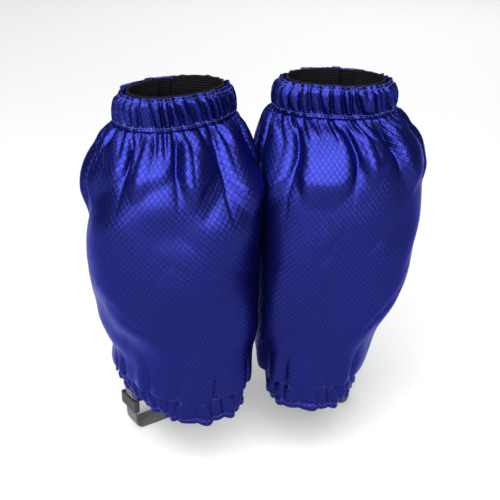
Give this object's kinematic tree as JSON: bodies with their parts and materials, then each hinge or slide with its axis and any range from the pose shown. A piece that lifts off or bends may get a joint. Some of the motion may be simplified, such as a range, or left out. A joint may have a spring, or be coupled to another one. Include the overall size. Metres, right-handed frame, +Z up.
{
  "type": "hiking gaiters",
  "caption": "Pair of short ripstop leg gaiters with shirred elastic tops and hems, a hook-and-loop front flap, a lace hook and a strap under the boot.",
  "frame": {"origin": "on the ground midway between the two boots' ankles, level with the underside of the instep straps", "axes": "+Z up along the legs, +Y to the toes, +X to the wearer's right; each gaiter is turned 22.5 degrees outwards about Z"},
  "size_m": [0.2727, 0.1792, 0.3499],
  "materials": {
    "ripstop": "satin",
    "elastic": "matte",
    "tape": "matte",
    "webbing": "matte",
    "plastic": "satin",
    "steel": "satin"
  },
  "bodies": {
    "gaiters": {"left_body_shell": "ripstop", "left_top_band": "ripstop", "left_top_elastic": "elastic", "left_hem_band": "ripstop", "left_hem_elastic": "elastic", "left_loop_tape": "tape", "left_hook_tab": "webbing", "left_strap_tab_outer": "webbing", "left_strap_tab_inner": "webbing", "left_strap_rivet_outer": "steel", "left_strap_rivet_inner": "steel", "right_body_shell": "ripstop", "right_top_band": "ripstop", "right_top_elastic": "elastic", "right_hem_band": "ripstop", "right_hem_elastic": "elastic", "right_loop_tape": "tape", "right_hook_tab": "webbing", "right_strap_tab_outer": "webbing", "right_strap_tab_inner": "webbing", "right_strap_rivet_outer": "steel", "right_strap_rivet_inner": "steel"},
    "left_flap": {"left_front_flap": "ripstop", "left_hook_tape": "tape"},
    "left_hook": {"left_lace_hook": "steel"},
    "left_strap": {"left_instep_strap": "webbing", "left_strap_tail": "webbing"},
    "left_slider": {"left_strap_slider": "plastic"},
    "right_flap": {"right_front_flap": "ripstop", "right_hook_tape": "tape"},
    "right_hook": {"right_lace_hook": "steel"},
    "right_strap": {"right_instep_strap": "webbing", "right_strap_tail": "webbing"},
    "right_slider": {"right_strap_slider": "plastic"}
  },
  "joints": [
    {"name": "left_flap_peel", "type": "hinge", "parent": "gaiters", "child": "left_flap", "pos_m": [-0.07595, 0.0716, 0.04917], "axis": [-0.043, 0.224, -0.9736], "range_deg": [0, 110]},
    {"name": "left_hook_swing", "type": "hinge", "parent": "gaiters", "child": "left_hook", "pos_m": [-0.09713, 0.04843, 0.044], "axis": [0.9239, 0.3827, 0], "range_deg": [-45, 45]},
    {"name": "left_strap_swing", "type": "hinge", "parent": "gaiters", "child": "left_strap", "pos_m": [-0.07869, 0.03788, 0.056], "axis": [0.9239, 0.3827, 0], "range_deg": [-35, 35]},
    {"name": "left_slider_slide", "type": "slide", "parent": "left_strap", "child": "left_slider", "axis": [0, 0, 1], "range_m": [-0.008, 0]},
    {"name": "right_flap_peel", "type": "hinge", "parent": "gaiters", "child": "right_flap", "pos_m": [0.10448, 0.05979, 0.04917], "axis": [0.0434, 0.2239, -0.9736], "range_deg": [0, 110]},
    {"name": "right_hook_swing", "type": "hinge", "parent": "gaiters", "child": "right_hook", "pos_m": [0.07311, 0.05838, 0.044], "axis": [0.9239, -0.3827, 0], "range_deg": [-45, 45]},
    {"name": "right_strap_swing", "type": "hinge", "parent": "gaiters", "child": "right_strap", "pos_m": [0.07869, 0.03788, 0.056], "axis": [0.9239, -0.3827, 0], "range_deg": [-35, 35]},
    {"name": "right_slider_slide", "type": "slide", "parent": "right_strap", "child": "right_slider", "axis": [0, 0, 1], "range_m": [-0.008, 0]}
  ]
}
